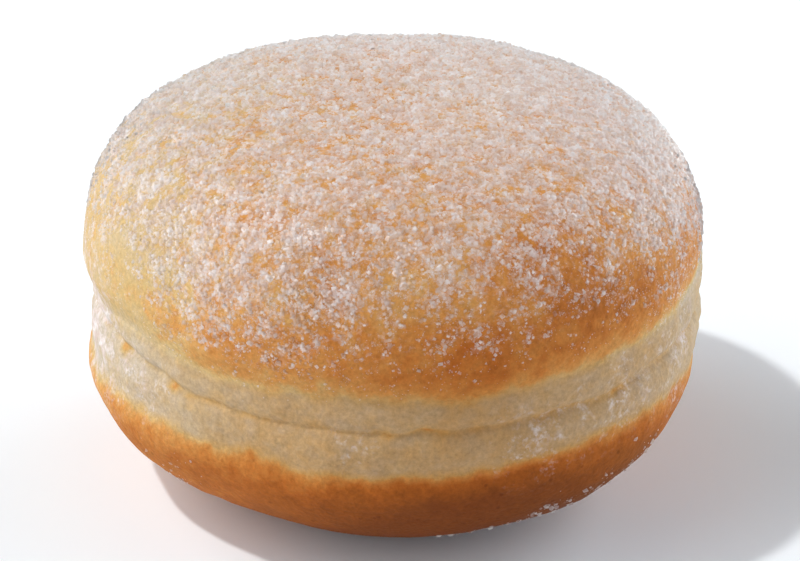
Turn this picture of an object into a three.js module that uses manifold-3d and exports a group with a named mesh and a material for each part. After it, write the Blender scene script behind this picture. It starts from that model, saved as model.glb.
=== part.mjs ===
// A jelly filled doughnut, rolled in granulated sugar.
//
// It is a single solid: one round of yeast dough that floated in hot oil, first on one side and
// then on the other. The two sides browned to a crust. The ring between them never met the oil
// for long, so it stays as a pale, slightly sunken collar with a crease round it. The jelly is
// inside, where nothing shows of it. The largest clumps of sugar are fused to the upper crust.
//
// Lengths are in millimetres, angles in degrees, and +Z is up. The origin is on the table, under
// the middle of the doughnut's width and depth. The front of the doughnut faces -Y.

import * as THREE from 'three';
import { mergeVertices } from 'three/addons/utils/BufferGeometryUtils.js';
import Module from 'manifold-3d';

// ---------------------------------------------------------------- driving dimensions

const RADIUS = 43;
const WAIST_HEIGHT = 25.5;

// Seen from the side, each half is a quarter of a squared-off ellipse that starts at the waist.
// The lower one is 0.8 deeper than the waist is high, and the table cuts it off flat.
const CROWN = { height: 30.3, squareness: 3.4 };
const BASE = { height: 26.3, squareness: 2.5 };

// Seen from above, the round is a little oval and a little three-cornered, and the base more so.
const PLAN = { oval: 0.007, ovalAt: 134, corners: 0.013, cornersAt: 53 };
const BASE_PLAN = { oval: 0.017, ovalAt: -14, corners: 0.013, cornersAt: 67 };

// The crown leans up towards -X and the front, and the base stands a little off centre.
const CROWN_LEAN = { x: -1.0, y: -1.0 };
const BASE_SHIFT = { x: -2.0, y: -0.6 };

// The three lines round the doughnut: each has a height, a tilt along X, an oval wave and ripples.
const LOWER_EDGE = {
  height: 19.6, tilt: 0.35, oval: 0.55, ovalAt: -28, ripple: 0.6, ripples: 4, rippleAt: -42,
};
const CREASE_LINE = {
  height: 26.8, tilt: -0.45, oval: 1.2, ovalAt: -30, ripple: 0.25, ripples: 6, rippleAt: -30,
};
const UPPER_EDGE = {
  height: 31.6, tilt: 2.4, oval: 0.8, ovalAt: 15, ripple: 0.42, ripples: 8, rippleAt: -10,
};

// The collar lies inside the outline between the two edges, and bulges a little on both sides of
// the crease. A third of the upper ramp reaches below the upper crust's edge, as well as all of it
// above. The crease is a shallow groove, deepest at `deepest` places round the doughnut.
const COLLAR = {
  inset: 1.2, insetTilt: -0.5, bulge: 0.5, upperBulge: 0.4, lowerRamp: 5, upperRamp: 4.5,
};
const CREASE = { depth: 0.3, least: 0.2, deepest: 3, at: 200, width: 0.8 };

// The dough swells softly here and there: waves that are each shorter and weaker than the last,
// and climb more steeply. They fade out over the lowest millimetres, where the dough lies flat.
const SWELL = {
  height: 0.35, length: 34, waves: 5, shorter: 0.33, climb: 0.35, climbMore: 0.25,
  shift: 2.4, weakness: 2.2, weaker: 1.1, fadeBelow: 6, steepestDown: -0.3,
};

const SUGAR = { tries: 225, widest: 2.6, narrowest: 1.3, proud: 0.5, bareBelow: 37, fullAbove: 50 };

// A clump's unevenness: shares of its size at the least, and what a draw can add to them.
const CLUMP = { out: 0.8, outMore: 0.4, narrow: 0.65, narrowMore: 0.35, flat: 0.7, flatMore: 0.3 };

// A level counts the lines from the bottom up: the flat spot's rim is 0 and the crown is 4.
const LOWER_LEVEL = 1;
const CREASE_LEVEL = 2;
const UPPER_LEVEL = 3;
const CROWN_LEVEL = 4;
const COLUMNS = 72;

// Rows lie closest beside the crease and under the upper crust's edge.
const BESIDE_CREASE = { below: 0.15, above: 0.2 };
const BESIDE_EDGE = { below: 0.2, above: 0.04 };
const ROWS = [
  ...steps(0, LOWER_LEVEL, 9),
  ...steps(LOWER_LEVEL, CREASE_LEVEL - BESIDE_CREASE.below, 3),
  ...steps(CREASE_LEVEL - BESIDE_CREASE.below, CREASE_LEVEL + BESIDE_CREASE.above, 2),
  ...steps(CREASE_LEVEL + BESIDE_CREASE.above, UPPER_LEVEL - BESIDE_EDGE.below, 2),
  ...steps(UPPER_LEVEL - BESIDE_EDGE.below, UPPER_LEVEL + BESIDE_EDGE.above, 3),
  ...steps(UPPER_LEVEL + BESIDE_EDGE.above, CROWN_LEVEL, 13),
];

const SLOPE_STEP = 0.01;
const AREA_STEPS = 400;

// ---------------------------------------------------------------- small helpers

function steps(from, to, count) {
  return Array.from({ length: count }, (_, i) => from + ((to - from) * i) / count);
}

function radians(degrees) {
  return (degrees * Math.PI) / 180;
}

function clamp(value, low, high) {
  return Math.min(high, Math.max(low, value));
}

// 0 below `from`, 1 above `to`, and a soft S between them
function ease(from, to, value) {
  const t = clamp((value - from) / (to - from), 0, 1);
  return t * t * (3 - 2 * t);
}

// 1 on the line, falling off to both sides like a bell
function bell(line, width, value) {
  return Math.exp(-(((value - line) / width) ** 2));
}

// The same number between 0 and 1 each time, for clump `index` and question `question`
function draw(index, question) {
  const wave = Math.sin(index * 12.9898 + question * 78.233) * 43758.5453;
  return wave - Math.floor(wave);
}

// ---------------------------------------------------------------- the dough's surface

// Distance from the middle of the waist to the side view's outline, along a pitch above the level
function reach(pitch) {
  const half = pitch > 0 ? CROWN : BASE;
  const across = Math.abs(Math.cos(pitch)) / RADIUS;
  const upright = Math.abs(Math.sin(pitch)) / half.height;
  return (across ** half.squareness + upright ** half.squareness) ** (-1 / half.squareness);
}

// The pitch at which that outline passes a height above the table
function pitchAt(height) {
  const rise = height - WAIST_HEIGHT;
  const half = rise > 0 ? CROWN : BASE;
  const radius = RADIUS * (1 - (Math.abs(rise) / half.height) ** half.squareness) ** (1 / half.squareness);
  return Math.atan2(rise, radius);
}

function lineHeight(line, turn) {
  return line.height
    + line.tilt * Math.cos(turn)
    + line.oval * Math.cos(2 * (turn - radians(line.ovalAt)))
    + line.ripple * Math.cos(line.ripples * (turn - radians(line.rippleAt)));
}

// The pitch at a level, between those of the two lines that the level lies between
function pitchOf(turn, level) {
  const pitches = [
    pitchAt(0),
    pitchAt(lineHeight(LOWER_EDGE, turn)),
    pitchAt(lineHeight(CREASE_LINE, turn)),
    pitchAt(lineHeight(UPPER_EDGE, turn)),
    Math.PI / 2,
  ];
  const below = Math.min(Math.floor(level), CROWN_LEVEL - 1);
  return pitches[below] + (pitches[below + 1] - pitches[below]) * (level - below);
}

// How far the collar lies inside the smooth outline, at a height of that outline
function collarDepth(turn, height) {
  const lower = lineHeight(LOWER_EDGE, turn);
  const crease = lineHeight(CREASE_LINE, turn);
  const upper = lineHeight(UPPER_EDGE, turn);
  const sunkFromBelow = ease(lower - COLLAR.lowerRamp / 2, lower + COLLAR.lowerRamp / 2, height);
  const sunkFromAbove = 1 - ease(upper - COLLAR.upperRamp / 3, upper + COLLAR.upperRamp, height);
  const inset = (COLLAR.inset + COLLAR.insetTilt * Math.cos(turn)) * sunkFromBelow * sunkFromAbove;
  const deep = (1 + Math.cos(CREASE.deepest * (turn - radians(CREASE.at)))) / 2;
  const share = CREASE.least + (1 - CREASE.least) * deep;
  const groove = CREASE.depth * share * bell(crease, CREASE.width, height);
  const lowerBulge = Math.sin(Math.PI * clamp((height - lower) / (crease - lower), 0, 1));
  const upperBulge = Math.sin(Math.PI * clamp((height - crease) / (upper - crease), 0, 1));
  return inset + groove - COLLAR.bulge * (lowerBulge + COLLAR.upperBulge * upperBulge);
}

// How much larger the round is at a turn than a true circle, as a share of its radius
function planShare(plan, turn) {
  return plan.oval * Math.cos(2 * (turn - radians(plan.ovalAt)))
    + plan.corners * Math.cos(3 * (turn - radians(plan.cornersAt)));
}

function swellAt(point) {
  let sum = 0;
  for (let wave = 0; wave < SWELL.waves; wave += 1) {
    const heading = Math.PI * (3 - Math.sqrt(5)) * wave;
    const climb = Math.sin(SWELL.climb + SWELL.climbMore * wave);
    const perMillimetre = (2 * Math.PI * (1 + SWELL.shorter * wave)) / SWELL.length;
    const along = point.x * Math.cos(heading) + point.y * Math.sin(heading) + point.z * climb;
    const weakness = SWELL.weakness + SWELL.weaker * wave;
    sum += Math.cos(perMillimetre * along + SWELL.shift * wave) / weakness;
  }
  return SWELL.height * sum;
}

// The point of the dough's surface at a turn about the middle, from +X, and a level
function doughPoint(turn, level) {
  const pitch = pitchOf(turn, level);
  const height = WAIST_HEIGHT + reach(pitch) * Math.sin(pitch);
  const inCrown = clamp((height - WAIST_HEIGHT) / CROWN.height, 0, 1);
  const inBase = clamp((WAIST_HEIGHT - height) / WAIST_HEIGHT, 0, 1);
  const share = 1 + planShare(PLAN, turn) + inBase * planShare(BASE_PLAN, turn);
  const radius = share * (reach(pitch) * Math.cos(pitch) - collarDepth(turn, height));
  const point = new THREE.Vector3(radius * Math.cos(turn), radius * Math.sin(turn), height);

  point.z += (inCrown * (CROWN_LEAN.x * point.x + CROWN_LEAN.y * point.y)) / RADIUS;
  point.x += inBase * BASE_SHIFT.x;
  point.y += inBase * BASE_SHIFT.y;

  const swell = swellAt(point) * clamp(point.z / SWELL.fadeBelow, 0, 1);
  point.x += swell * Math.cos(pitch) * Math.cos(turn);
  point.y += swell * Math.cos(pitch) * Math.sin(turn);
  point.z += swell * clamp(Math.sin(pitch), SWELL.steepestDown, 1);
  if (level === 0) {
    point.z = 0;
  }
  return point;
}

// The surface's outward normal, from its slopes along both parameters
function doughNormal(turn, level) {
  const around = doughPoint(turn + SLOPE_STEP, level).sub(doughPoint(turn - SLOPE_STEP, level));
  const upward = doughPoint(turn, level + SLOPE_STEP).sub(doughPoint(turn, level - SLOPE_STEP));
  return around.cross(upward).normalize();
}

// The corner of the dough's grid in a row, counted from the crown, and a column
function cornerAt(levels, row, column) {
  if (row === 0) {
    return doughPoint(0, CROWN_LEVEL);
  }
  if (row === levels.length) {
    return new THREE.Vector3(BASE_SHIFT.x, BASE_SHIFT.y, 0);
  }
  return doughPoint((2 * Math.PI * column) / COLUMNS, levels[row]);
}

// A sphere's grid, with each row of vertices moved to its level and the last one to the table
function makeDough() {
  const levels = [CROWN_LEVEL, ...ROWS.toReversed()];
  const geometry = new THREE.SphereGeometry(RADIUS, COLUMNS, levels.length);
  const corners = geometry.attributes.position;
  for (let i = 0; i < corners.count; i += 1) {
    const row = Math.floor(i / (COLUMNS + 1));
    const column = (i % (COLUMNS + 1)) % COLUMNS;
    const corner = cornerAt(levels, row, column);
    corners.setXYZ(i, corner.x, corner.y, corner.z);
  }
  return welded(geometry);
}

function welded(geometry) {
  geometry.deleteAttribute('normal');
  geometry.deleteAttribute('uv');
  return mergeVertices(geometry);
}

// ---------------------------------------------------------------- sugar clumps

// Levels from the crown down to the upper edge, one for each try, that share out the crust evenly
function evenLevels(count) {
  const levelOf = (i) => CROWN_LEVEL - (i / AREA_STEPS) * (CROWN_LEVEL - UPPER_LEVEL);
  const areas = [0];
  for (let i = 1; i <= AREA_STEPS; i += 1) {
    const upper = doughPoint(0, levelOf(i - 1));
    const lower = doughPoint(0, levelOf(i));
    areas.push(areas[i - 1] + (upper.x + lower.x) * upper.distanceTo(lower));
  }
  return Array.from({ length: count }, (_, i) => {
    const wanted = ((i + 0.5) / count) * areas[AREA_STEPS];
    return levelOf(areas.findIndex((area) => area >= wanted));
  });
}

// An uneven twenty-sided lump, flattened on the crust and sunk to its middle
function makeClump(index, place, normal) {
  const geometry = welded(new THREE.IcosahedronGeometry(1, 0));
  const corners = geometry.attributes.position;
  for (let i = 0; i < corners.count; i += 1) {
    const out = CLUMP.out + CLUMP.outMore * draw(index, 10 + i);
    corners.setXYZ(i, corners.getX(i) * out, corners.getY(i) * out, corners.getZ(i) * out);
  }
  const width = SUGAR.narrowest + (SUGAR.widest - SUGAR.narrowest) * draw(index, 2) ** 2;
  const narrow = CLUMP.narrow + CLUMP.narrowMore * draw(index, 3);
  const flat = CLUMP.flat + CLUMP.flatMore * draw(index, 5);
  const up = new THREE.Vector3(0, 0, 1);
  const spin = new THREE.Quaternion().setFromAxisAngle(up, Math.PI * draw(index, 4));
  const upright = new THREE.Quaternion().setFromUnitVectors(up, normal);
  const size = new THREE.Vector3(width / 2, (narrow * width) / 2, SUGAR.proud * flat);
  return geometry.applyMatrix4(new THREE.Matrix4().compose(place, upright.multiply(spin), size));
}

// Tries run down the crust in a golden-angle spiral, and thin out below the shoulder
function makeClumps() {
  const clumps = [];
  evenLevels(SUGAR.tries).forEach((level, index) => {
    const turn = index * Math.PI * (3 - Math.sqrt(5));
    const place = doughPoint(turn, level);
    if (draw(index, 1) < ease(SUGAR.bareBelow, SUGAR.fullAbove, place.z)) {
      clumps.push(makeClump(index, place, doughNormal(turn, level)));
    }
  });
  return clumps;
}

// ---------------------------------------------------------------- joining into one solid

const wasm = await Module();
wasm.setup();

function asSolid(geometry) {
  return new wasm.Manifold(new wasm.Mesh({
    numProp: 3,
    vertProperties: Float32Array.from(geometry.attributes.position.array),
    triVerts: Uint32Array.from(geometry.index.array),
  }));
}

function asGeometry(solid) {
  const mesh = solid.getMesh();
  const geometry = new THREE.BufferGeometry();
  geometry.setAttribute('position', new THREE.BufferAttribute(mesh.vertProperties, 3));
  geometry.setIndex(new THREE.BufferAttribute(mesh.triVerts, 1));
  geometry.computeVertexNormals();
  return geometry;
}

// ---------------------------------------------------------------- the doughnut

const dough = makeDough();
dough.computeBoundingBox();
const middle = dough.boundingBox.getCenter(new THREE.Vector3());
const sugared = makeClumps().reduce((solid, clump) => solid.add(asSolid(clump)), asSolid(dough));

const crust = new THREE.MeshStandardMaterial({ color: '#cf9a5c', roughness: 0.65, metalness: 0 });
const doughnut = new THREE.Mesh(asGeometry(sugared), crust);
doughnut.name = 'doughnut';
doughnut.position.set(-middle.x, -middle.y, 0);

const group = new THREE.Group();
group.add(doughnut);

export default group;
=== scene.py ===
# %% [markdown]
# # A jelly filled doughnut
#
# This lesson makes one filled doughnut that was rolled in granulated sugar. It is a round of yeast
# dough, fried first on one side and then on the other, so it has two browned crusts and a pale
# collar between them. Over the upper crust lie tens of thousands of sugar grains.
#
# The plan: load the fixed frame and place the camera, work out the dough's surface as a function
# of two parameters, brown it with a value at each vertex and a procedural material, scatter the
# sugar by a rule, and light it with one narrow sun, two wide lamps and a faint fill from in front.

# %% Load the frame
import math
import bpy
import numpy as np
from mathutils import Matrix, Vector


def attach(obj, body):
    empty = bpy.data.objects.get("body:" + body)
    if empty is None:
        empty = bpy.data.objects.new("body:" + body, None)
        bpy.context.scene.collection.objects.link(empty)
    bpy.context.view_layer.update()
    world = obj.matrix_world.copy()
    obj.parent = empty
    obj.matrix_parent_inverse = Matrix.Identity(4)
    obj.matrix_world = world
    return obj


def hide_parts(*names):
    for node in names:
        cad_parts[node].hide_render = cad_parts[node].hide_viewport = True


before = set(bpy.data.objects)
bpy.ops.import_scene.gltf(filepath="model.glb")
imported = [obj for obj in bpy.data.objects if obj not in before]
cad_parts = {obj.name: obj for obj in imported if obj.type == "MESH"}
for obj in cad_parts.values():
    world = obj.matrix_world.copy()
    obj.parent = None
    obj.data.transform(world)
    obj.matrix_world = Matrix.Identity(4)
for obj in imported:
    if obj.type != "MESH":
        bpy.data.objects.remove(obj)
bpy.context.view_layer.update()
MM = 0.001

# %% [markdown]
# ## Camera
#
# A long lens from 40 cm away, looking down at the front of the doughnut by about 26 degrees. A
# camera is turned about X from looking straight down, so its X turn is 90 degrees less that much.

# %% Camera
LOOK_DOWN = math.radians(26.16)
CAMERA_DISTANCE = 400 * MM
LENS = 129.2
AIM = Vector((1.03, 0.26, 27.3)) * MM

camera_data = bpy.data.cameras.new("camera")
camera_data.lens = LENS
camera = bpy.data.objects.new("camera", camera_data)
bpy.context.scene.collection.objects.link(camera)
toward = Vector((0, math.cos(LOOK_DOWN), -math.sin(LOOK_DOWN)))
camera.location = AIM - CAMERA_DISTANCE * toward
camera.rotation_euler = (math.pi / 2 - LOOK_DOWN, 0, 0)
bpy.context.scene.camera = camera
print("camera at", tuple(round(value, 3) for value in camera.location))

# %% [markdown]
# ## The dough's form
#
# A turn runs round the doughnut from +X, and a level climbs it: 0 at the rim of the flat spot it
# rests on, 1 at the lower crust's edge, 2 at the crease in the collar, 3 at the upper crust's edge
# and 4 at the crown. A sphere could be sculpted into this, but a formula in the two parameters
# gives the collar, the crease and the browning the same lines to follow. Sizes are the CAD part's.

# %% Sizes of the dough, in mm and degrees
RADIUS = 43.0
WAIST_HEIGHT = 25.5
CROWN = dict(height=30.3, squareness=3.4)
BASE = dict(height=26.3, squareness=2.5)
PLAN = dict(oval=0.007, oval_at=134, corners=0.013, corners_at=53)
BASE_PLAN = dict(oval=0.017, oval_at=-14, corners=0.013, corners_at=67)
CROWN_LEAN = (-1.0, -1.0)
BASE_SHIFT = (-2.0, -0.6)
LOWER_EDGE = dict(
    height=19.6, tilt=0.35, oval=0.55, oval_at=-28, ripple=0.6, ripples=4, ripple_at=-42,
)
CREASE_LINE = dict(
    height=26.8, tilt=-0.45, oval=1.2, oval_at=-30, ripple=0.25, ripples=6, ripple_at=-30,
)
UPPER_EDGE = dict(
    height=31.6, tilt=2.4, oval=0.8, oval_at=15, ripple=0.42, ripples=8, ripple_at=-10,
)
LINES = (LOWER_EDGE, CREASE_LINE, UPPER_EDGE)
CREASE_LEVEL = 2
CROWN_LEVEL = 4
COLLAR = dict(inset=1.2, inset_tilt=-0.5, bulge=0.5, upper_bulge=0.4, lower_ramp=5, upper_ramp=4.5)
CREASE = dict(depth=0.3, least=0.2, deepest=3, at=200, width=0.8)
SWELL = dict(
    height=0.35, length=34, waves=5, shorter=0.33, climb=0.35, climb_more=0.25, shift=2.4,
    weakness=2.2, weaker=1.1, fade_below=6, steepest_down=-0.3,
)
print("the dough is made", 2 * RADIUS, "mm wide and", WAIST_HEIGHT + CROWN["height"], "mm high")


# %% Soft steps and bells
def ease(start, end, value):
    """0 below start, 1 above end, and a soft S in between."""
    t = np.clip((value - start) / (end - start), 0, 1)
    return t * t * (3 - 2 * t)


def soft_steps(steps, value):
    """A sum of soft steps, where each is a rise and the two values between which it comes."""
    total = 0.0
    for rise, start, end in steps:
        total = total + rise * ease(start, end, value)
    return total


def bell(line, width, value):
    """1 on the line, falling off to both sides as exp(-(distance / width) squared)."""
    return np.exp(-(((value - line) / width) ** 2))


# %% Noise on points
def lattice_draw(cell, seed):
    """The same number between 0 and 1 for the same lattice corner: the fraction of a large sine."""
    wave = np.sin(cell @ np.array([12.9898, 78.233, 37.719]) + seed) * 43758.5453
    return wave - np.floor(wave)


def noise(points, size, seed):
    """Draws at the corners of a cubic net of that size, blended softly in between, from -1 to 1."""
    place = points / size
    cell = np.floor(place)
    blend = place - cell
    blend = blend * blend * (3 - 2 * blend)
    total = 0.0
    for corner in np.ndindex(2, 2, 2):
        share = np.prod(np.where(corner, blend, 1 - blend), axis=-1)
        total = total + share * lattice_draw(cell + np.array(corner), seed)
    return 2 * total - 1


def noises(points, layers):
    """A sum of noises, where each layer is a strength, a size in mm and a seed."""
    total = 0.0
    for strength, size, seed in layers:
        total = total + strength * noise(points, size, seed)
    return total


# %% The lines round the doughnut
def line_height(line, turn):
    """A line's height at a turn: its mean height, a tilt along X, an oval wave and ripples."""
    return (
        line["height"]
        + line["tilt"] * np.cos(turn)
        + line["oval"] * np.cos(2 * (turn - np.radians(line["oval_at"])))
        + line["ripple"] * np.cos(line["ripples"] * (turn - np.radians(line["ripple_at"])))
    )


def plan_share(plan, turn):
    """How much larger the round is at a turn than a circle, as a share of its radius."""
    oval = plan["oval"] * np.cos(2 * (turn - np.radians(plan["oval_at"])))
    return oval + plan["corners"] * np.cos(3 * (turn - np.radians(plan["corners_at"])))


def half_at(above):
    """The height and squareness of the crown where that is true, and of the base elsewhere."""
    return [np.where(above, CROWN[name], BASE[name]) for name in ("height", "squareness")]


def reach(pitch):
    """Distance from the waist's middle to the side outline, where (x/a)^n + (z/b)^n is 1."""
    height, square = half_at(pitch > 0)
    across = np.abs(np.cos(pitch)) / RADIUS
    upright = np.abs(np.sin(pitch)) / height
    return (across**square + upright**square) ** (-1 / square)


def pitch_at(height):
    """The pitch, seen from the waist's middle, at which that outline passes a height."""
    rise = height - WAIST_HEIGHT
    half, square = half_at(rise > 0)
    radius = RADIUS * (1 - (np.abs(rise) / half) ** square) ** (1 / square)
    return np.arctan2(rise, radius)


def pitch_of(turn, level):
    """The pitch at a level, evenly between those of the two lines that it lies between."""
    heights = [np.zeros_like(turn)] + [line_height(line, turn) for line in LINES]
    pitches = np.stack([pitch_at(height) for height in heights] + [np.full_like(turn, math.pi / 2)])
    below = np.clip(np.floor(level).astype(int), 0, CROWN_LEVEL - 1)[None]
    low = np.take_along_axis(pitches, below, 0)[0]
    high = np.take_along_axis(pitches, below + 1, 0)[0]
    return low + (high - low) * (level - below[0])


# %% The surface
GOLDEN_ANGLE = math.pi * (3 - math.sqrt(5))
SLOPE_STEP = 0.004


def collar_depth(turn, height):
    """How far the collar lies inside the outline: an inset, a crease and two soft bulges."""
    lower, crease, upper = (line_height(line, turn) for line in LINES)
    from_below = ease(lower - COLLAR["lower_ramp"] / 2, lower + COLLAR["lower_ramp"] / 2, height)
    from_above = 1 - ease(upper - COLLAR["upper_ramp"] / 3, upper + COLLAR["upper_ramp"], height)
    inset = (COLLAR["inset"] + COLLAR["inset_tilt"] * np.cos(turn)) * from_below * from_above
    deep = (1 + np.cos(CREASE["deepest"] * (turn - np.radians(CREASE["at"])))) / 2
    share = CREASE["least"] + (1 - CREASE["least"]) * deep
    groove = CREASE["depth"] * share * bell(crease, CREASE["width"], height)
    lower_bulge = np.sin(np.pi * np.clip((height - lower) / (crease - lower), 0, 1))
    upper_bulge = np.sin(np.pi * np.clip((height - crease) / (upper - crease), 0, 1))
    bulge = lower_bulge + COLLAR["upper_bulge"] * upper_bulge
    return inset + groove - COLLAR["bulge"] * bulge


def swell_at(points):
    """Soft swells of the dough: plane waves, each shorter and weaker, headed by the golden angle."""
    total = 0.0
    for wave in range(SWELL["waves"]):
        heading = GOLDEN_ANGLE * wave
        climb = math.sin(SWELL["climb"] + SWELL["climb_more"] * wave)
        per_mm = 2 * math.pi * (1 + SWELL["shorter"] * wave) / SWELL["length"]
        along = points @ np.array([math.cos(heading), math.sin(heading), climb])
        weakness = SWELL["weakness"] + SWELL["weaker"] * wave
        total = total + np.cos(per_mm * along + SWELL["shift"] * wave) / weakness
    return SWELL["height"] * total


def dough_points(turn, level):
    """Points of the smooth dough in mm: the side outline less the collar, carried round the plan."""
    turn, level = np.broadcast_arrays(np.asarray(turn, float), np.asarray(level, float))
    pitch = pitch_of(turn, level)
    height = WAIST_HEIGHT + reach(pitch) * np.sin(pitch)
    in_crown = np.clip((height - WAIST_HEIGHT) / CROWN["height"], 0, 1)
    in_base = np.clip((WAIST_HEIGHT - height) / WAIST_HEIGHT, 0, 1)
    share = 1 + plan_share(PLAN, turn) + in_base * plan_share(BASE_PLAN, turn)
    radius = share * (reach(pitch) * np.cos(pitch) - collar_depth(turn, height))
    points = np.stack([radius * np.cos(turn), radius * np.sin(turn), height], -1)
    lean = points[..., 0] * CROWN_LEAN[0] + points[..., 1] * CROWN_LEAN[1]
    points[..., 2] += in_crown * lean / RADIUS
    points[..., 0] += in_base * BASE_SHIFT[0]
    points[..., 1] += in_base * BASE_SHIFT[1]
    swell = swell_at(points) * np.clip(points[..., 2] / SWELL["fade_below"], 0, 1)
    sideways = np.cos(pitch)
    upright = np.clip(np.sin(pitch), SWELL["steepest_down"], 1)
    outward = np.stack([sideways * np.cos(turn), sideways * np.sin(turn), upright], -1)
    return points + swell[..., None] * outward


def dough_normals(turn, level):
    """Outward unit normals: the cross product of the slopes along the turn and the level."""
    around = dough_points(turn + SLOPE_STEP, level) - dough_points(turn - SLOPE_STEP, level)
    upward = dough_points(turn, level + SLOPE_STEP) - dough_points(turn, level - SLOPE_STEP)
    normal = np.cross(around, upward)
    return normal / np.linalg.norm(normal, axis=-1, keepdims=True)


# %% Where the origin is
BOX_TURNS = np.linspace(0, 2 * np.pi, 721)
BOX_LEVELS = np.linspace(0, CROWN_LEVEL, 401)
samples = dough_points(BOX_TURNS[None, :], BOX_LEVELS[:, None]).reshape(-1, 3)
MIDDLE = (samples.max(0) + samples.min(0)) / 2 * np.array([1, 1, 0])
print("middle of the dough's own box in mm:", MIDDLE.round(2), "top", samples[:, 2].max().round(2))

# %% [markdown]
# ## The dough's mesh
#
# A grid of turns and levels, with the rows closest in the collar and under the upper crust's edge.
# The relief that is too fine for the CAD part is added along the normals: small blisters of the
# fried crust, the wrinkled skin of the collar, and the thin fold that the crease pinches up. A
# bump in the material would look the same from in front, but only real relief shows at the rim.

# %% Relief
FOLD_WANDER = [(0.5, 3.0, 25.0), (0.2, 1.2, 26.0)]
FOLD_WIDTH = 0.4
FOLD_DEPTH = 0.22
BLISTERS = [(0.10, 5.0, 1.0), (0.06, 2.2, 2.0), (0.03, 1.1, 3.0)]
UPRIGHT_WRINKLES = [(0.20, 3.0, 4.0)]
SMALL_WRINKLES = [(0.15, 1.5, 5.0)]
WRINKLE_STRETCH = np.array([1, 1, 0.45])
WRINKLES_START = (0.8, 1.1)
WRINKLES_END = (2.9, 3.05)
RELIEF_FROM = 0.15


def fold_at(points, turn):
    """The fine fold along the crease: 1 on a line that wanders by half a mm, 0 beside it."""
    height = points[..., 2] + noises(points, FOLD_WANDER)
    return bell(line_height(CREASE_LINE, turn), FOLD_WIDTH, height)


def relief(points, turn, level):
    """Relief in mm: blisters on the crusts, wrinkles and a fold between, none at the flat spot."""
    collar = ease(*WRINKLES_START, level) * (1 - ease(*WRINKLES_END, level))
    blisters = noises(points, BLISTERS)
    wrinkles = noises(points * WRINKLE_STRETCH, UPRIGHT_WRINKLES) + noises(points, SMALL_WRINKLES)
    folded = wrinkles - FOLD_DEPTH * fold_at(points, turn)
    return (blisters * (1 - collar) + folded * collar) * np.clip(level / RELIEF_FROM, 0, 1)


# %% The grid
COLUMNS = 432
BANDS_OF_ROWS = [(0, 1, 51), (1, 3, 55), (3, 3.12, 17), (3.12, 4, 91)]
FLAT_ROWS = 5

turns = np.arange(COLUMNS) * 2 * np.pi / COLUMNS
levels = np.concatenate([
    np.linspace(start, end, rows, endpoint=False) for start, end, rows in BANDS_OF_ROWS
])
turn_grid, level_grid = np.meshgrid(turns, levels)
normal_grid = dough_normals(turn_grid, np.maximum(level_grid, SLOPE_STEP))
skin = dough_points(turn_grid, level_grid)
skin = skin + relief(skin, turn_grid, level_grid)[..., None] * normal_grid
rings = np.linspace(0, 1, FLAT_ROWS + 1)[1:-1, None, None]
flat_middle = np.array([BASE_SHIFT[0], BASE_SHIFT[1], 0.0])
flat = flat_middle + (skin[0] - flat_middle) * rings
crown_tip = dough_points(0, CROWN_LEVEL)
print("skin rows and columns:", skin.shape[:2])


# %% One closed mesh
def closed_grid(rows, first, last):
    """Vertices, and faces of four and three corners, of rings of points closed by a fan each end."""
    count, columns = rows.shape[:2]
    vertices = np.concatenate([rows.reshape(-1, 3), first[None], last[None]])
    column = np.arange(columns)
    after = (column + 1) % columns
    low = np.arange(count - 1)[:, None] * columns
    quads = np.stack([low + column, low + after, low + columns + after, low + columns + column], -1)
    bottom = np.stack([after, column, np.full(columns, count * columns)], -1)
    top_row = (count - 1) * columns
    top = np.stack([top_row + column, top_row + after, np.full(columns, count * columns + 1)], -1)
    return vertices, [quads.reshape(-1, 4), bottom, top]


def add_mesh(name, vertices, face_groups):
    """A smooth mesh from arrays: vertices in mm and groups of faces with equal corner counts."""
    corners = np.concatenate([group.ravel() for group in face_groups])
    sizes = np.concatenate([np.full(len(group), group.shape[1]) for group in face_groups])
    mesh = bpy.data.meshes.new(name)
    mesh.vertices.add(len(vertices))
    mesh.vertices.foreach_set("co", ((vertices - MIDDLE) * MM).ravel())
    mesh.loops.add(len(corners))
    mesh.loops.foreach_set("vertex_index", corners)
    mesh.polygons.add(len(sizes))
    mesh.polygons.foreach_set("loop_start", np.concatenate([[0], np.cumsum(sizes)[:-1]]))
    mesh.polygons.foreach_set("loop_total", sizes)
    mesh.polygons.foreach_set("use_smooth", np.full(len(sizes), True))
    mesh.update(calc_edges=True)
    mesh.validate()
    piece = bpy.data.objects.new(name, mesh)
    bpy.context.scene.collection.objects.link(piece)
    print(name, "has", int((sizes - 2).sum()), "triangles")
    return piece


def add_values(piece, name, values):
    """A number for each vertex, which the piece's material reads by name."""
    attribute = piece.data.attributes.new(name, "FLOAT", "POINT")
    attribute.data.foreach_set("value", np.asarray(values, np.float32).ravel())
    print(piece.name, name, "from", round(float(values.min()), 2), "to", round(float(values.max()), 2))


dough_vertices, dough_faces = closed_grid(np.concatenate([flat, skin]), flat_middle, crown_tip)
dough = add_mesh("dough", dough_vertices, dough_faces)
dough_turns = np.arctan2(dough_vertices[:, 1], dough_vertices[:, 0])
flat_levels = np.zeros(flat.shape[0] * COLUMNS)
dough_levels = np.concatenate([flat_levels, level_grid.ravel(), [0, CROWN_LEVEL]])
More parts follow.
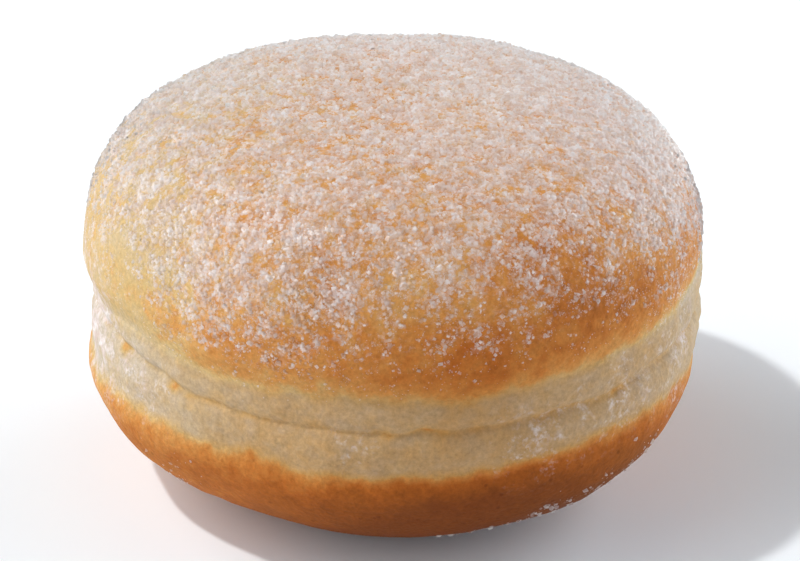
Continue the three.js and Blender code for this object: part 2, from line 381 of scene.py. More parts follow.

# %% [markdown]
# ## Browning
#
# Dough browns where it meets the hot fat. Each vertex gets a browning value: a little in the pale
# collar, rising over 2 or 3 mm at the crusts' edges, and growing slowly further from them. The
# material turns it into a colour. Painting it by height alone would give straight bands, so the
# edges wander with noise and creep into the collar at some turns. One side stayed paler, the base
# is browned most at the front, and single spots and the fold along the crease caught some heat.

# %% Where the browning lies: a turn with a width in degrees, or steps with their ends in mm
EDGE_WANDER = [(0.5, 4.0, 11.0), (0.30, 1.6, 12.0), (0.12, 0.8, 17.0)]
CROWN_CREEP = 0.5
CROWN_CREEP_AT = [dict(at=-103, width=24), dict(at=-56, width=9)]
BASE_CREEP = 1.15
BASE_CREEP_AT = dict(at=-58, width=45)
PALE_SIDE = dict(at=175, width=45)
PALE_CROWN = 0.15
PALE_SIDE_ENDS = (3.3, 3.85)
PALE_EDGE = dict(softer=1.6, lower=0.5, paler=0.68)
CRUST_EDGE = [(0.40, -1.2, 1.7)]
CRUST_BEYOND = [(0.16, 0.4, 4.5)]
CRUST_ON_TOP = [(-0.12, 7.5, 13)]
BASE_STEPS = [(0.62, -1.6, 1.5), (0.17, 0.5, 5.0), (0.12, 4.0, 15.0)]
DARK_BASE = dict(at=-76, width=45)
BASE_SHARE = dict(least=0.70, more=0.46)
BROWN_SPOTS = [
    (-152.5, 1.94, 1.1, 0.40),
    (-136, 1.95, 0.9, 0.34),
    (-105, 2.09, 0.8, 0.18),
    (-92, 1.93, 0.8, 0.18),
    (-117, 1.18, 1.4, 0.20),
    (-112, 1.12, 1.2, 0.18),
    (-144, 3.18, 9.0, -0.20),
    (-168, 1.80, 10.0, -0.12),
    (-146, 1.60, 6.0, -0.10),
    (-105, 3.10, 9.0, -0.10),
    (-54, 3.18, 9.0, 0.09),
    (-68, 3.22, 6.0, 0.08),
    (-152, 0.95, 7.0, 0.08),
    (-57, 3.22, 5.5, 0.13),
    (-100, 3.24, 6.0, 0.10),
    (-133, 3.12, 4.0, -0.12),
    (-38, 0.80, 6.0, 0.10),
]
print("places that are browner or paler than the rule:", len(BROWN_SPOTS))

# %% How uneven it is, and the painted shade of the front
LEAST_BROWNING = 0.08
UNEVEN = [(0.035, 8.0, 13.0), (0.055, 3.0, 14.0), (0.04, 1.2, 18.0)]
CALM_SHARE = 0.5
COLLAR_FADES = (-2, 1)
COLLAR_UNEVEN = [(0.04, 1.7, 19.0), (0.04, 0.8, 20.0)]
COLLAR_TAN = 0.06
COLLAR_TAN_AT = dict(at=-105, width=45)
FOLD_BROWNING = 0.16
FOLD_BREAKS = [(0.8, 4.0, 24.0)]
FOLD_SHARE = 0.6
# Painted shade: a warm, darker tint on the front, which lies in shade, fading into a faint even tint
# on the crown.
FRONT_SHADE_AT = -80
FRONT_SHADE_WIDTH = dict(above=28, more_below=36, from_level=2.7, to_level=3.05)
FRONT_SHADE_FADES = (3.07, 3.28)
SHADE_AND_TINT = dict(most=0.9, fades_by=0.90, on_crown=0.05)
SHADE_AND_TINT_UNEVEN = [(0.10, 10.0, 15.0), (0.06, 3.0, 16.0)]


def near_turn(turn, at, width):
    """1 at a turn in degrees, falling off to both sides as exp(-(distance / width) squared)."""
    away = np.degrees(np.angle(np.exp(1j * (turn - np.radians(at)))))
    return np.exp(-((away / width) ** 2))


def near_spots(points, spots):
    """A sum of soft round spots: each has a turn, a level, a width in mm and a strength."""
    total = 0.0
    for turn, level, width, strength in spots:
        centre = dough_points(np.radians(turn), level)
        total = total + strength * np.exp(-(((points - centre) ** 2).sum(-1)) / width**2)
    return total


# %% Browning of each vertex
def upper_browning(over, turn, level):
    """Browning of the upper crust by the mm above its edge, softer and paler on the pale side."""
    crown = ease(*PALE_SIDE_ENDS, level)
    pale = near_turn(turn, **PALE_SIDE) * (1 - crown) + PALE_CROWN * crown
    softened = over / (1 + PALE_EDGE["softer"] * pale)
    browning = soft_steps(CRUST_EDGE, softened + PALE_EDGE["lower"] * pale)
    browning = browning + soft_steps(CRUST_BEYOND, softened) + soft_steps(CRUST_ON_TOP, over)
    return browning * (1 - PALE_EDGE["paler"] * pale)


def browning_at(points, turn, level):
    """Browning from 0 to 1: a little in the collar, and more with the mm beyond a crust's edge."""
    height = points[..., 2] + noises(points, EDGE_WANDER)
    creep = sum(near_turn(turn, **place) for place in CROWN_CREEP_AT)
    over = height - line_height(UPPER_EDGE, turn) + CROWN_CREEP * creep
    under = line_height(LOWER_EDGE, turn) - height + BASE_CREEP * near_turn(turn, **BASE_CREEP_AT)
    upper = upper_browning(over, turn, level)
    share = BASE_SHARE["least"] + BASE_SHARE["more"] * near_turn(turn, **DARK_BASE)
    lower = soft_steps(BASE_STEPS, under) * share
    in_upper_half = level > CREASE_LEVEL
    collar = ease(*COLLAR_FADES, -under) * ease(*COLLAR_FADES, -over)
    uneven = noises(points, UNEVEN) * (1 - CALM_SHARE * np.where(in_upper_half, collar, 1))
    tan = COLLAR_TAN * near_turn(turn, **COLLAR_TAN_AT)
    uneven = uneven + collar * (noises(points, COLLAR_UNEVEN) + tan)
    broken = FOLD_SHARE + noises(points, FOLD_BREAKS)
    uneven = uneven + FOLD_BROWNING * broken * fold_at(points, turn)
    spots = near_spots(points, BROWN_SPOTS)
    return np.clip(LEAST_BROWNING + uneven + spots + np.where(in_upper_half, upper, lower), 0, 1)


def shade_and_tint_at(points, turn, level):
    """A warm, darker tint from 0 to 1: painted shade of the front, some on the crown, and noise."""
    below = 1 - ease(FRONT_SHADE_WIDTH["from_level"], FRONT_SHADE_WIDTH["to_level"], level)
    width = FRONT_SHADE_WIDTH["above"] + FRONT_SHADE_WIDTH["more_below"] * below
    crown = ease(*FRONT_SHADE_FADES, level)
    shade_and_tint = SHADE_AND_TINT["most"] * near_turn(turn, FRONT_SHADE_AT, width) * (1 - SHADE_AND_TINT["fades_by"] * crown)
    shade_and_tint = shade_and_tint + SHADE_AND_TINT["on_crown"] * crown
    return np.clip(shade_and_tint + noises(points, SHADE_AND_TINT_UNEVEN), 0, 1)


add_values(dough, "browning", browning_at(dough_vertices, dough_turns, dough_levels))
add_values(dough, "shade_and_tint", shade_and_tint_at(dough_vertices, dough_turns, dough_levels))

# %% [markdown]
# ## Sugar cover
#
# The doughnut was rolled while warm, so the cover is dense on the crown and thins out down the
# shoulder, below a wavy line. It lies in uneven patches of a millimetre or so, with bare crust
# between them, and it heaps up in some places and was rubbed off in others. One function gives it,
# from 0 to 1: the scattered grains take it as their chance to stay, and the dough takes it for the
# fine frosting under and between the grains.

# %% Places with more or less sugar: a turn, a level, a width in mm and a strength
SUGAR_EDGE = dict(
    height=41.6, tilt=0.0, oval=1.0, oval_at=-58, ripple=1.7, ripples=3, ripple_at=-58,
)
HEAPS = [
    (-121, 3.18, 6.0, 0.42),
    (-126, 3.25, 8.0, 0.25),
    (-109, 3.30, 2.6, 0.24),
    (-105, 3.36, 2.4, 0.20),
    (-82, 3.29, 2.6, 0.24),
    (-57, 3.30, 2.6, 0.22),
    (-100, 3.19, 2.4, 0.22),
    (-118, 3.50, 2.6, 0.20),
    (-66, 3.20, 2.4, 0.20),
    (-81, 3.62, 3.2, 0.22),
    (-62, 3.47, 3.2, 0.20),
    (-48, 3.22, 2.6, 0.20),
    (-90, 3.86, 4.0, 0.25),
    (-77, 3.20, 6.0, 0.14),
    (-63, 3.17, 5.0, 0.10),
]
THIN_PLACES = [
    (-88, 3.38, 7.0, -0.14),
    (-60, 3.27, 7.0, -0.12),
    (-165, 3.20, 14.0, -0.26),
    (-86, 3.17, 2.8, -0.20),
    (-43, 3.17, 3.0, -0.22),
    (-88, 3.73, 3.0, -0.16),
    (-98, 3.31, 2.6, -0.16),
    (-114, 3.24, 3.0, -0.22),
]
LOW_PLACES = [
    (-36, 0.78, 3.5, 0.17),
    (-46, 0.74, 3.5, 0.17),
    (-57, 0.70, 3.5, 0.17),
    (-70, 0.50, 4.0, 0.12),
    (-138, 0.75, 5.0, 0.05),
]
# Partly more sugar, partly painted rim light: whiter frost along the right, back and left back rims.
FROSTED_AND_RIM_LIT_PLACES = [
    (-16, 3.28, 14.0, 0.375),
    (20, 3.40, 18.0, 0.350),
    (90, 3.40, 20.0, 0.275),
    (165, 3.40, 14.0, 0.200),
]
FILM_PLACES = [
    (-66, 1.60, 6.0, 0.38),
    (-50, 1.75, 6.0, 0.38),
    (-98, 1.66, 3.5, 0.42),
    (-28, 1.85, 9.0, 0.50),
    (-168, 1.80, 11.0, 0.90),
    (-144, 1.65, 6.0, 0.35),
    (-174, 3.20, 14.0, 0.38),
]
print("heaps", len(HEAPS), "thin", len(THIN_PLACES), "frosted_and_rim_lit", len(FROSTED_AND_RIM_LIT_PLACES))

# %% The cover
SUGAR_STEPS = [(0.5, -9, 6), (0.4, 0, 13)]
PATCHES = [(0.28, 3.2, 21.0), (0.50, 1.4, 22.0), (0.50, 0.7, 23.0)]
PATCH_STRETCH = np.array([1, 1, 0.7])
PATCH_CONTRAST = dict(least=0.45, more=0.8, full_from=0.15)
COVER_SHARE = 0.90
FILM = dict(even=0.7, patchy=1.3)
DUST = dict(of_amount=0.30, of_cover=0.50)


def patches_at(points):
    """Uneven patches: three noises, drawn out down the side, each finer than the one before."""
    return noises(points * PATCH_STRETCH, PATCHES)


def amount_at(points, turn, lower=0.0):
    """How much sugar there is from 0 to 1, before its patches: more with the height over a line."""
    above = points[..., 2] - line_height(SUGAR_EDGE, turn) + lower
    places = near_spots(points, HEAPS + THIN_PLACES + LOW_PLACES)
    return np.clip(soft_steps(SUGAR_STEPS, above) + places, 0, 1)


def cover_at(points, turn, lower=0.0, patchy=1.0):
    """Sugar cover from 0 to 1: the amount, broken into patches."""
    amount = amount_at(points, turn, lower)
    contrast = patchy * (PATCH_CONTRAST["least"] + PATCH_CONTRAST["more"] * amount)
    contrast = contrast * ease(0, PATCH_CONTRAST["full_from"], amount)
    return np.clip(COVER_SHARE * amount + contrast * patches_at(points), 0, 1)


def dust_at(points, turn):
    """Frosting from 0 to 1: some wherever there is sugar, more in patches, films, and rims partly as
    painted rim light.
    """
    film = near_spots(points, FILM_PLACES) * (FILM["even"] + FILM["patchy"] * patches_at(points))
    dust = DUST["of_amount"] * amount_at(points, turn) + DUST["of_cover"] * cover_at(points, turn)
    return np.clip(dust + np.clip(film, 0, 1) + near_spots(points, FROSTED_AND_RIM_LIT_PLACES), 0, 1)


add_values(dough, "sugar", dust_at(dough_vertices, dough_turns))

# %% [markdown]
# ## Material helpers
#
# A node tree is easier to read as a list of steps. So each helper adds one node, sets or joins its
# inputs, and hands on its output. Colours are written as they look on a screen, from 0 to 255, and
# turned into the linear light that shaders work in.


# %% Helpers
def linear(red, green, blue):
    """A screen colour from 0 to 255 as the linear RGBA that shaders use."""
    screen = np.array([red, green, blue]) / 255
    light = np.where(screen <= 0.04045, screen / 12.92, ((screen + 0.055) / 1.055) ** 2.4)
    return (*light.tolist(), 1.0)


def set_inputs(tree, node, inputs):
    """Sets each input that is given a number or a colour, and joins each that is given an output."""
    for name, value in inputs.items():
        if isinstance(value, bpy.types.NodeSocket):
            tree.links.new(value, node.inputs[name])
        else:
            node.inputs[name].default_value = value


def add_node(tree, kind, inputs, **settings):
    """A node of that kind, with its properties and its inputs set."""
    node = tree.nodes.new(kind)
    for name, value in settings.items():
        setattr(node, name, value)
    set_inputs(tree, node, inputs)
    return node


def add_place(tree):
    """The point on the piece that is being shaded."""
    return add_node(tree, "ShaderNodeTexCoord", {}).outputs["Object"]


def add_value(tree, name):
    """The value that add_values gave the piece's vertices under that name."""
    return add_node(tree, "ShaderNodeAttribute", {}, attribute_name=name).outputs["Fac"]


def add_noise(tree, place, scale, detail, roughness=0.5):
    """A cloudy noise from 0 to 1."""
    inputs = {"Vector": place, "Scale": scale, "Detail": detail, "Roughness": roughness}
    return add_node(tree, "ShaderNodeTexNoise", inputs).outputs["Fac"]


def add_cells(tree, place, scale):
    """Cells like those of a honeycomb, each with a colour of its own."""
    return add_node(tree, "ShaderNodeTexVoronoi", {"Vector": place, "Scale": scale}).outputs


def add_math(tree, operation, *values, clamp=False):
    """A sum, product or comparison of values."""
    inputs = dict(enumerate(values))
    node = add_node(tree, "ShaderNodeMath", inputs, operation=operation, use_clamp=clamp)
    return node.outputs["Value"]


def add_range(tree, value, start, end, low, high, way="LINEAR"):
    """A value that goes from start to end, as one that goes from low to high and no further."""
    inputs = {"Value": value, "From Min": start, "From Max": end, "To Min": low, "To Max": high}
    return add_node(tree, "ShaderNodeMapRange", inputs, interpolation_type=way).outputs["Result"]


def add_mix(tree, share, first, second, blend="MIX"):
    """The first colour, mixed with the second or multiplied by it, as far as the share says."""
    inputs = {"Factor": share, "A": first, "B": second}
    node = add_node(tree, "ShaderNodeMix", inputs, data_type="RGBA", blend_type=blend)
    return node.outputs["Result"]


def add_ramp(tree, value, stops):
    """The colour that lies at a value between stops, each a position and a screen colour."""
    ramp = add_node(tree, "ShaderNodeValToRGB", {"Fac": value})
    elements = ramp.color_ramp.elements
    while len(elements) < len(stops):
        elements.new(0.5)
    for element, (position, screen) in zip(elements, stops):
        element.position = position
        element.color = linear(*screen)
    return ramp.outputs["Color"]


# %% Groups and materials
def new_group(name, inputs, outputs):
    """A node group with its sockets, each a name and a kind, and what comes in by them."""
    tree = bpy.data.node_groups.new(name, "ShaderNodeTree")
    for way, sockets in (("INPUT", inputs), ("OUTPUT", outputs)):
        for socket, kind in sockets.items():
            tree.interface.new_socket(socket, in_out=way, socket_type="NodeSocket" + kind)
    return tree, add_node(tree, "NodeGroupInput", {}).outputs


def new_material(name):
    """A node material, with its tree and its shader."""
    material = bpy.data.materials.new(name)
    material.use_nodes = True
    tree = material.node_tree
    return material, tree, tree.nodes["Principled BSDF"]


# %% [markdown]
# ## Crust colour and frosting
#
# The dough and the sugar share two node groups. `crust_colour` turns browning into a colour, from
# cream over gold to dark brown. It mottles most where the dough is half browned, because that is
# where a little more heat changes the colour most. It darkens the front with painted shade, puts
# painted shade into small open pores as dark dots, and adds fine specks. The grains need it too:
# sugar crystals are clear, and the crust shows through them. `frosting` lays fine sugar over a
# colour. It adds up the sugar's value, a noise and a draw for each small cell, and covers the
# colour where the sum is high, so its edges break up into crystals.
#
# The groups put out only colours and a height. Roughness, sheen and the like are set on the shader
# itself, because a number that reaches it through a group is lost when the model is exported.

# %% Crust colour
CRUST_COLOURS = [
    (0.00, (190, 177, 158)),
    (0.14, (193, 170, 133)),
    (0.31, (200, 167, 112)),
    (0.45, (203, 150, 86)),
    (0.62, (196, 131, 66)),
    (0.75, (180, 109, 47)),
    (0.88, (154, 92, 38)),
    (1.00, (127, 74, 34)),
]
MOTTLING = dict(start=0, end=1, low=-1.2, high=1.2)
SHADE_AND_TINT_COLOUR = (0.82, 0.62, 0.44, 1)
PORE_CELLS = 450
PORE_REACH = 0.13
# Painted shade: the pores are dark dots that stand for the shade inside them.
PORE_SHADE_TINT = (0.55, 0.45, 0.38, 1)
PORES_BY_BROWNING = dict(start=0.45, end=0.75, low=0, high=0.5)
SPECK_BRIGHTNESS = dict(start=0.30, end=0.70, low=0.77, high=1.21)


def make_crust_colour():
    """A group: browning with mottling to a colour by a ramp, with painted front shade and pore shade.
    """
    sockets = {"Browning": "Float", "Shade_and_tint": "Float"}
    tree, given = new_group("crust_colour", sockets, {"Color": "Color"})
    place = add_place(tree)
    mottle = add_noise(tree, place, scale=420, detail=5, roughness=0.72)
    spread = add_range(tree, mottle, **MOTTLING)
    paleness = add_math(tree, "SUBTRACT", 1, given["Browning"], clamp=True)
    halfway = add_math(tree, "MULTIPLY", given["Browning"], paleness)
    mottled = add_math(tree, "MULTIPLY_ADD", halfway, spread, given["Browning"])
    colour = add_ramp(tree, mottled, CRUST_COLOURS)
    # Painted shade: this tint darkens and warms the front.
    shaded_and_tinted = add_mix(tree, given["Shade_and_tint"], colour, SHADE_AND_TINT_COLOUR, "MULTIPLY")
    # Painted shade of small open pores: dark dots on browned crust, with no relief under them.
    from_middle = add_cells(tree, place, PORE_CELLS)["Distance"]
    in_pore = add_math(tree, "LESS_THAN", from_middle, PORE_REACH)
    browned = add_range(tree, given["Browning"], **PORES_BY_BROWNING)
    pore_shade = add_math(tree, "MULTIPLY", in_pore, browned)
    pore_shaded = add_mix(tree, pore_shade, shaded_and_tinted, PORE_SHADE_TINT, "MULTIPLY")
    specks = add_noise(tree, place, scale=1500, detail=6, roughness=0.75)
    brightness = add_range(tree, specks, **SPECK_BRIGHTNESS)
    speckled = add_mix(tree, 1, pore_shaded, brightness, "MULTIPLY")
    add_node(tree, "NodeGroupOutput", {"Color": speckled})
    return tree


# %% Frosting
THIN_FROST = linear(199, 175, 165)
THICK_FROST = linear(225, 216, 215)
CRYSTAL_CELLS = 2600
NOISE_SHARE = 1.5
CELL_SHARE = 0.45
COVER_BY_TOTAL = dict(start=1.10, end=2.22, low=0, high=0.95, way="SMOOTHSTEP")
COVER_BY_SUGAR = dict(start=0, end=0.22, low=0, high=1, way="SMOOTHSTEP")
CLOUDS = dict(start=0.34, end=0.66, low=-0.25, high=0.75)
CELL_THICKNESS = 0.5


def make_frosting():
    """A group: sugar over a colour, more where a value, a noise and small crystal cells add up."""
    sockets = {"Sugar": "Float", "Under": "Color"}
    tree, given = new_group("frosting", sockets, {"Color": "Color", "Height": "Float"})
    place = add_place(tree)
    patches = add_noise(tree, place, scale=950, detail=4, roughness=0.65)
    crystals = add_cells(tree, place, CRYSTAL_CELLS)["Color"]
    draws = add_node(tree, "ShaderNodeSeparateColor", {"Color": crystals}).outputs
    uneven = add_math(tree, "MULTIPLY_ADD", patches, NOISE_SHARE, given["Sugar"])
    total = add_math(tree, "MULTIPLY_ADD", draws["Red"], CELL_SHARE, uneven)
    most = add_range(tree, total, **COVER_BY_TOTAL)
    some = add_range(tree, given["Sugar"], **COVER_BY_SUGAR)
    cover = add_math(tree, "MULTIPLY", most, some)
    haze = add_noise(tree, place, scale=480, detail=3)
    cloud = add_range(tree, haze, **CLOUDS)
    thickness = add_math(tree, "MULTIPLY_ADD", draws["Green"], CELL_THICKNESS, cloud, clamp=True)
    frost = add_mix(tree, thickness, THIN_FROST, THICK_FROST)
    covered = add_mix(tree, cover, given["Under"], frost)
    height = add_math(tree, "MULTIPLY", draws["Blue"], cover)
    add_node(tree, "NodeGroupOutput", {"Color": covered, "Height": height})
    return tree


crust_colour = make_crust_colour()
frosting = make_frosting()
print("node groups:", crust_colour.name, "and", frosting.name)


# %% Both together
def add_frosted_crust(tree, shader):
    """Joins both groups to the shader's colour and the piece's values, and gives their height."""
    crust_inputs = {"Browning": add_value(tree, "browning"), "Shade_and_tint": add_value(tree, "shade_and_tint")}
    crust = add_node(tree, "ShaderNodeGroup", crust_inputs, node_tree=crust_colour)
    frost_inputs = {"Sugar": add_value(tree, "sugar"), "Under": crust.outputs["Color"]}
    frost = add_node(tree, "ShaderNodeGroup", frost_inputs, node_tree=frosting)
    set_inputs(tree, shader, {"Base Color": frost.outputs["Color"]})
    return frost.outputs["Height"]


# %% [markdown]
# ## Crust material
#
# A fried crust is matt, with a skin of fine pits, and a little light goes into the soft dough and
# comes out again. The crystals of the frosting stand up from it.

# %% Crust material
CRYSTALS_TO_PITS = 0.5


def make_crust_material():
    """The crust colour under its frosting, with a finely pitted skin."""
    material, tree, shader = new_material("fried_dough")
    crystals = add_frosted_crust(tree, shader)
    pits = add_noise(tree, add_place(tree), scale=1500, detail=4)
    height = add_math(tree, "MULTIPLY_ADD", crystals, CRYSTALS_TO_PITS, pits)
    bump_inputs = {"Strength": 0.55, "Distance": 0.3 * MM, "Height": height}
    bump = add_node(tree, "ShaderNodeBump", bump_inputs)
    set_inputs(tree, shader, {
        "Normal": bump.outputs["Normal"],
        "Roughness": 0.7,
        "Specular IOR Level": 0.08,
        "Subsurface Weight": 0.1,
        "Subsurface Radius": (1.0, 0.5, 0.25),
        "Subsurface Scale": 1.5 * MM,
    })
    return material


dough.data.materials.append(make_crust_material())
print("dough material:", dough.data.materials[0].name)

# %% [markdown]
# ## Sugar grains
#
# A large grain is a small block with uneven corners, like a real sugar crystal, and a small one is
# a chip with four corners, which saves triangles. All grains of a kind are joined in one mesh made
# from arrays, because instances would be lost when the model is exported. The grains lie half in
# the skin and are shaded nearly like it, with a little of their own facets: full facets would
# glitter like gravel, where real grains are clear and soften one another.

# %% Even places on the skin
LOWEST_LEVEL = 0.1
HIGHEST_LEVEL = 3.995
AREA_STEPS = 1500

area_levels = np.linspace(LOWEST_LEVEL, CROWN_LEVEL, AREA_STEPS + 1)
area_ring = dough_points(np.full_like(area_levels, -np.pi / 2), area_levels)
area_radius = np.hypot(area_ring[:, 0], area_ring[:, 1])
slants = np.linalg.norm(np.diff(area_ring, axis=0), axis=1)
area_steps = slants * np.pi * (area_radius[1:] + area_radius[:-1])
area_sum = np.concatenate([[0], np.cumsum(area_steps)])
print("skin area in square mm:", round(area_sum[-1]))


def even_places(per_square_mm, random):
    """Turns and levels spread over the skin so that each square millimetre gets as many."""
    count = int(per_square_mm * area_sum[-1])
    level = np.interp(random.random(count) * area_sum[-1], area_sum, area_levels)
    return random.random(count) * 2 * np.pi, np.minimum(level, HIGHEST_LEVEL)


# %% Crystals
BLOCK_HEIGHT = 0.7
BLOCK_TOP = 0.55
block_corners = (np.array(list(np.ndindex(2, 2, 2))) - 0.5) * [1, 1, BLOCK_HEIGHT]
block_corners[block_corners[:, 2] > 0, :2] *= BLOCK_TOP
BLOCK = dict(
    corners=block_corners,
    sides=[[0, 2, 6, 4], [0, 1, 3, 2], [4, 6, 7, 5], [0, 4, 5, 1], [2, 3, 7, 6], [1, 5, 7, 3]],
    most=16600,
)
CHIP = dict(
    corners=np.array([[0.58, 0, -0.25], [-0.29, 0.5, -0.25], [-0.29, -0.5, -0.25], [0, 0, 0.3]]),
    sides=[[0, 2, 1], [0, 1, 3], [1, 2, 3], [2, 0, 3]],
    most=49000,
)
NARROWEST = 0.55
FLATNESS = (0.4, 0.8)
CORNER_SHIFT = 0.1
TILT = 0.12


def make_crystals(shape, centres, normals, sizes, random):
    """The shape at each place: narrowed, flattened, its corners shifted, and turned at random."""
    count = len(centres)
    corners = shape["corners"]
    narrow = random.uniform(NARROWEST, 1, count)
    flat = random.uniform(*FLATNESS, count)
    proportions = np.stack([np.ones(count), narrow, flat], -1)
    blocks = corners[None] * (proportions * sizes[:, None])[:, None]
    shifts = random.uniform(-CORNER_SHIFT, CORNER_SHIFT, (count, len(corners), 3))
    blocks = blocks + sizes[:, None, None] * shifts
    upward = normals + TILT * random.normal(0, 1, (count, 3))
    upward /= np.linalg.norm(upward, axis=1, keepdims=True)
    side = np.cross(upward, random.normal(0, 1, (count, 3)))
    side /= np.linalg.norm(side, axis=1, keepdims=True)
    axes = np.stack([side, np.cross(upward, side), upward], 1)
    vertices = centres[:, None] + blocks @ axes
    faces = np.array(shape["sides"])[None] + len(corners) * np.arange(count)[:, None, None]
    return vertices.reshape(-1, 3), faces.reshape(-1, faces.shape[-1])


# %% Grains as a piece
SUNK_LEAST = 0.10
LOW_CORNER_SUGAR = 0.92


def shade_like_skin(piece, shape, vertices, centres, normals, facets, random):
    """Gives each corner the skin's normal, with a share of its own way out and of a draw."""
    outward = vertices.reshape(len(centres), -1, 3) - centres[:, None]
    outward /= np.linalg.norm(outward, axis=-1, keepdims=True)
    shading = normals[:, None] + random.normal(0, facets, (len(centres), 1, 3)) + facets * outward
    shading /= np.linalg.norm(shading, axis=-1, keepdims=True)
    shading = shading[:, np.array(shape["sides"])]
    shading[:, 0] = -normals[:, None]
    piece.data.normals_split_custom_set(shading.reshape(-1, 3))


def make_grains(name, shape, turn, level, sizes, rise, sugar, facets, random):
    """One piece of sugar: a crystal at each place, coloured and shaded like the skin under it."""
    places = dough_points(turn, level)
    normals = dough_normals(turn, level)
    centres = places + (SUNK_LEAST * sizes + rise)[:, None] * normals
    vertices, faces = make_crystals(shape, centres, normals, sizes, random)
    piece = add_mesh(name, vertices, [faces])
    shade_like_skin(piece, shape, vertices, centres, normals, facets, random)
    corners = shape["corners"]
    low_or_high = np.where(corners[:, 2] > 0, 1.0, LOW_CORNER_SUGAR)
    add_values(piece, "sugar", sugar[:, None] * low_or_high)
    add_values(piece, "browning", np.repeat(browning_at(places, turn, level), len(corners)))
    add_values(piece, "shade_and_tint", np.repeat(shade_and_tint_at(places, turn, level), len(corners)))
    piece.visible_shadow = False
    return piece


# %% Grains by the cover
HEAPED_FROM = 0.2
GRAIN_SUGAR = dict(least=0.52, more=0.46, spread=0.11)
# Grains below the upper crust get less frost and show more crust colour: partly thinner sugar, partly
# painted shade of the low rim.
LOW_FROST_AND_SHADE = dict(least=0.35, more=0.65, from_level=1, to_level=2.5)


def scatter(name, shape, per_square_mm, size, heap, lower, patchy, facets, seed):
    """Grains of one kind, evenly dense, kept where a draw is below the cover."""
    random = np.random.default_rng(seed)
    turn, level = even_places(per_square_mm, random)
    cover = cover_at(dough_points(turn, level), turn, lower, patchy)
    keep = np.flatnonzero(random.random(len(turn)) < cover)[:shape["most"]]
    print(name, "kept", len(keep), "of", len(cover), "places")
    turn = turn[keep]
    level = level[keep]
    sizes = random.uniform(*size, len(keep))
    rise = heap * ease(HEAPED_FROM, 1.0, cover[keep]) * random.random(len(keep))
    dust = dust_at(dough_points(turn, level), turn)
    # Less frost low down: partly thinner sugar, partly painted shade of the low rim.
    high = ease(LOW_FROST_AND_SHADE["from_level"], LOW_FROST_AND_SHADE["to_level"], level)
    sugar = GRAIN_SUGAR["least"] + GRAIN_SUGAR["more"] * dust
    sugar = sugar * (LOW_FROST_AND_SHADE["least"] + LOW_FROST_AND_SHADE["more"] * high)
    sugar = sugar + random.uniform(-GRAIN_SUGAR["spread"], GRAIN_SUGAR["spread"], len(keep))
    return make_grains(name, shape, turn, level, sizes, rise, sugar, facets, random)


sugar_dust = scatter(
    "sugar_dust", CHIP, per_square_mm=6.5, size=(0.16, 0.26),
    heap=0.20, lower=4.5, patchy=0.5, facets=0.08, seed=1,
)
sugar_fine = scatter(
    "sugar_fine", CHIP, per_square_mm=5.5, size=(0.24, 0.38),
    heap=0.26, lower=3.0, patchy=0.8, facets=0.09, seed=2,
)
sugar_medium = scatter(
    "sugar_medium", BLOCK, per_square_mm=2.8, size=(0.34, 0.52),
    heap=0.34, lower=0.8, patchy=1.0, facets=0.11, seed=3,
)
sugar_coarse = scatter(
    "sugar_coarse", BLOCK, per_square_mm=1.7, size=(0.48, 0.78),
    heap=0.38, lower=-1.0, patchy=1.0, facets=0.13, seed=4,
)
sugar_pieces = [sugar_dust, sugar_fine, sugar_medium, sugar_coarse]

# %% [markdown]
# ## Sugar material
#
# The same frosting over the same crust colour, but smoother and with a sheen, because the edges of
# many crystals send light back at a slant and make the rims of the doughnut shine.


# %% Sugar material
def make_sugar_material():
    """The same frosting over the crust's colour, which shows through the clear crystals."""
    material, tree, shader = new_material("granulated_sugar")
    add_frosted_crust(tree, shader)
    set_inputs(tree, shader, {
        "Roughness": 0.35,
        "Specular IOR Level": 0.35,
        "Sheen Weight": 1.0,
        "Sheen Roughness": 0.4,
    })
    return material


sugar_material = make_sugar_material()
for piece in sugar_pieces:
    piece.data.materials.append(sugar_material)
print("sugar material:", sugar_material.name)

# %% [markdown]
# ## Joining the frame
#
# The dough replaces the CAD part's node, and every piece rides on its one body.

# %% Ride and replace
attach(dough, "root")
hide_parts("doughnut")
for piece in sugar_pieces:
    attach(piece, "root")
print("pieces on the frame:", 1 + len(sugar_pieces))

# %% [markdown]
# ## Floor and light
#
# A wide pale floor and four lights, as for a small thing on a table: a narrow one from the upper
# left for the clear shadow, a large soft lamp at either side, and a faint low fill from in front.
# The front stays dim, which lets the sides and the rims shine. The sky is seen pale, but adds
# little light.

# %% Floor
FLOOR_HALF = 3.0
FLOOR_CORNERS = [(-1, -1), (1, -1), (1, 1), (-1, 1)]

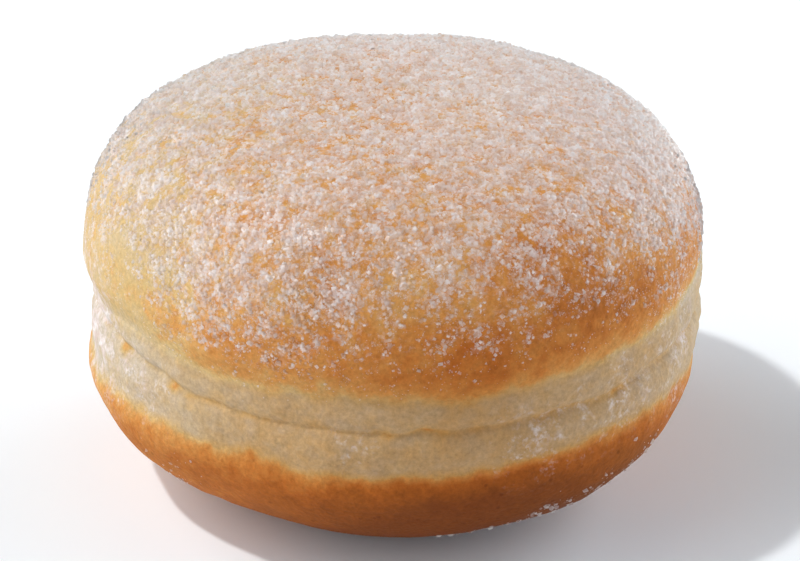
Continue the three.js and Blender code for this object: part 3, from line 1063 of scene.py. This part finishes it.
floor_mesh = bpy.data.meshes.new("floor")
floor_points = [(FLOOR_HALF * x, FLOOR_HALF * y, 0) for x, y in FLOOR_CORNERS]
floor_mesh.from_pydata(floor_points, [], [(0, 1, 2, 3)])
floor = bpy.data.objects.new("floor", floor_mesh)
bpy.context.scene.collection.objects.link(floor)
floor_material, floor_tree, floor_shader = new_material("pale_floor")
set_inputs(floor_tree, floor_shader, {
    "Base Color": (0.92, 0.95, 0.985, 1),
    "Roughness": 0.9,
    "Specular IOR Level": 0.1,
})
floor_mesh.materials.append(floor_material)
print("floor is", 2 * FLOOR_HALF, "m wide")


# %% Light
def way_down(heading, steepness):
    """The way of light that travels along a heading and down, both in degrees."""
    flat = math.cos(math.radians(steepness))
    along = math.radians(heading)
    return (math.cos(along) * flat, math.sin(along) * flat, -math.sin(math.radians(steepness)))


def add_sun(name, way, energy, spread, color):
    """A sun whose light travels along a way; a wide spread acts like a large soft lamp far off."""
    data = bpy.data.lights.new(name, "SUN")
    data.energy = energy
    data.angle = math.radians(spread)
    data.color = color
    sun = bpy.data.objects.new(name, data)
    sun.rotation_euler = Vector(way).to_track_quat("-Z", "Y").to_euler()
    bpy.context.scene.collection.objects.link(sun)
    print("light", name, "of strength", energy)


add_sun("key", way_down(10, 61), energy=1.45, spread=3, color=(0.98, 1.0, 0.99))
add_sun("left_lamp", (1, 0, -0.35), energy=3.2, spread=90, color=(0.975, 1.0, 1.01))
add_sun("right_lamp", (-1, -0.3, -0.1), energy=4.35, spread=90, color=(0.935, 0.985, 1.03))
add_sun("low_fill", (0.55, 0.80, -0.12), energy=0.22, spread=60, color=(0.96, 1.0, 1.04))

# %% Sky
SKY_COLOUR = (0.93, 0.98, 1.1, 1)
DIM_SKY = 0.11
SEEN_SKY = 1.0

world = bpy.data.worlds.new("pale_sky")
world.use_nodes = True
sky_tree = world.node_tree
seen = add_node(sky_tree, "ShaderNodeLightPath", {}).outputs["Is Camera Ray"]
strength = add_range(sky_tree, seen, 0, 1, DIM_SKY, SEEN_SKY)
set_inputs(sky_tree, sky_tree.nodes["Background"], {"Color": SKY_COLOUR, "Strength": strength})
bpy.context.scene.world = world
bpy.context.scene.view_settings.view_transform = "Standard"
print("sky of strength", DIM_SKY, "that looks like", SEEN_SKY)
